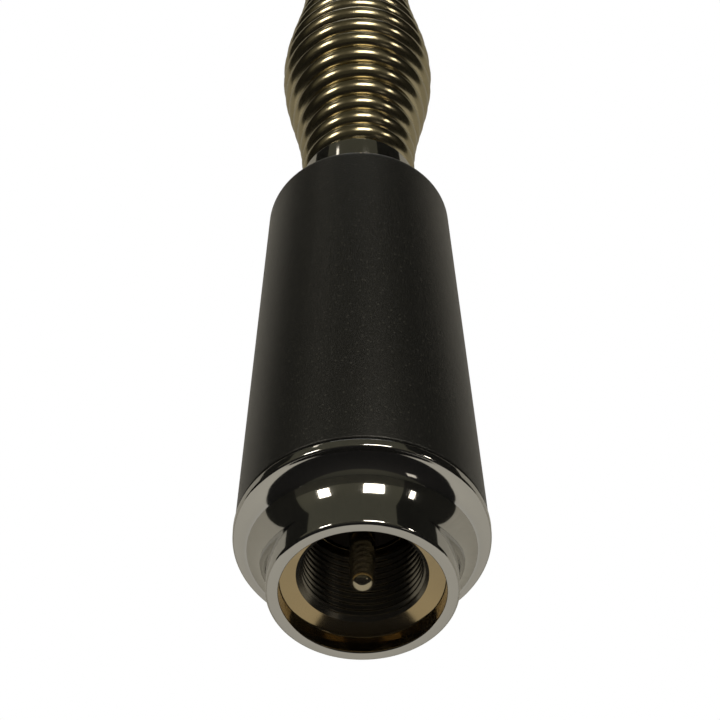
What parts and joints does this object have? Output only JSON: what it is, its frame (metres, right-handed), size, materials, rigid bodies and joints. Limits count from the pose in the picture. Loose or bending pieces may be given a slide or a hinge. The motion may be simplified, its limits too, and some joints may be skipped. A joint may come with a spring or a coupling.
{
  "type": "cb antenna",
  "caption": "CB antenna with a threaded coaxial plug, a loading coil in a tapered sleeve, a barrel spring and a steel whip.",
  "frame": {"origin": "centre of the plug's rim plane, where the antenna is screwed onto its socket", "axes": "+Z along the antenna from the plug to the whip's tip, -Y towards the side that the picture shows"},
  "size_m": [0.0326, 0.0326, 0.4796],
  "materials": {
    "chrome_plate": "polished chrome plate",
    "pin_metal": "nickel-plated brass",
    "insulator": "moulded phenolic, dark brown",
    "zinc_steel": "zinc plated",
    "rubber_seal": "moulded",
    "sleeve_plastic": "fine spark texture, black",
    "former_plastic": "moulded, ivory",
    "copper_wire": "enamelled copper",
    "tinned_copper": "tinned",
    "spring_steel": "black chrome, worn bright on the crests",
    "whip_steel": "drawn stainless",
    "tip_plastic": "moulded, black"
  },
  "bodies": {
    "base": {"plug_body": "chrome_plate", "centre_pin": "pin_metal", "pin_insulator": "insulator", "retaining_ring": "zinc_steel", "sleeve_seal": "rubber_seal", "coil_sleeve": "sleeve_plastic", "coil_former": "former_plastic", "loading_coil": "copper_wire", "lock_nut": "zinc_steel", "solder_tag": "tinned_copper", "crown_washer": "zinc_steel", "crown_gasket": "rubber_seal", "spring_base": "chrome_plate"},
    "spring": {"barrel_spring": "spring_steel", "shunt_braid": "tinned_copper"},
    "holder": {"whip_holder": "chrome_plate", "grub_screw_1": "zinc_steel", "grub_screw_2": "zinc_steel"},
    "whip": {"whip": "whip_steel", "whip_tip": "tip_plastic"}
  },
  "joints": [
    {"name": "lower_bend", "type": "hinge", "parent": "base", "child": "spring", "pos_m": [0, 0, 0.1009], "axis": [1, 0, 0], "range_deg": [-25, 25], "stiffness_Nm_per_rad": 2.5, "deforming": ["barrel_spring", "shunt_braid"]},
    {"name": "upper_bend", "type": "hinge", "parent": "spring", "child": "holder", "pos_m": [0, 0, 0.1289], "axis": [0, 1, 0], "range_deg": [-25, 25], "stiffness_Nm_per_rad": 2.5},
    {"name": "whip_slide", "type": "slide", "parent": "holder", "child": "whip", "axis": [0, 0, 1], "range_m": [-0.01, 0.005]}
  ]
}
